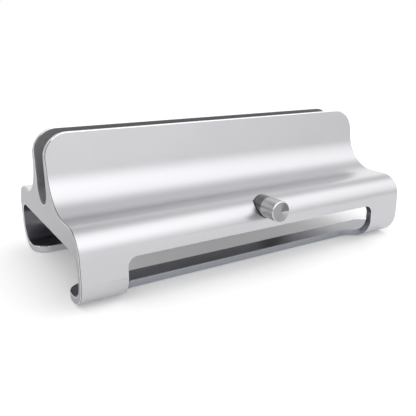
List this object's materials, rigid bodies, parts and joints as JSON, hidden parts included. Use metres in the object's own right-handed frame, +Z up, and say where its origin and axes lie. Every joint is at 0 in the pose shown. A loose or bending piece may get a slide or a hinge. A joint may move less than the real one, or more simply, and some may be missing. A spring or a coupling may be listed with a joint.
{
  "type": "vertical laptop stand",
  "caption": "Arched aluminium desk stand that holds a closed laptop on edge in a lined slot; a front knob turns a lead screw that moves a padded jaw across the slot.",
  "frame": {"origin": "on the desk, under the middle of the slot, half way along the stand", "axes": "+X along the slot, +Y to the back, +Z up; the knob is on the -Y side"},
  "size_m": [0.229, 0.1372, 0.0846],
  "materials": {
    "aluminium_satin": "fine bead-blasted and anodised",
    "aluminium_turned": "turned and anodised",
    "grip_silicone": "matte",
    "foot_rubber": "matte",
    "black_steel": "satin powder coat",
    "black_screw": "black oxide",
    "zinc_steel": "bright zinc plate",
    "spring_steel": "phosphated",
    "brass": "machined",
    "nylon": "natural"
  },
  "bodies": {
    "stand": {"stand_body": "aluminium_satin", "rear_grip_liner": "grip_silicone", "slot_floor_liner": "grip_silicone", "guide_sleeves": "nylon", "screw_bush": "nylon", "thrust_washer": "nylon", "clip_washer": "zinc_steel", "end_bush": "nylon", "pocket_cover": "black_steel", "cover_screws": "black_screw", "foot_pad_front_left": "foot_rubber", "foot_pad_front_right": "foot_rubber", "foot_pad_rear_left": "foot_rubber", "foot_pad_rear_right": "foot_rubber"},
    "screw": {"lead_screw": "zinc_steel", "knob": "aluminium_turned", "knob_grub_screw": "black_screw", "retaining_clip": "spring_steel"},
    "jaw": {"jaw_plate": "black_steel", "jaw_grip_pad": "grip_silicone", "jaw_nut": "brass", "jaw_nut_screws": "zinc_steel", "guide_pins": "zinc_steel"}
  },
  "joints": [
    {"name": "knob_turn", "type": "hinge", "parent": "stand", "child": "screw", "pos_m": [0, -0.06, 0.0386], "axis": [0, 1, 0], "range_deg": [0, 2520]},
    {"name": "jaw_slide", "type": "slide", "parent": "stand", "child": "jaw", "axis": [0, 1, 0], "range_m": [0, 0.0056]}
  ],
  "couplings": [
    {"joint": "knob_turn", "follows": "jaw_slide", "rad_per_m": 7854}
  ]
}
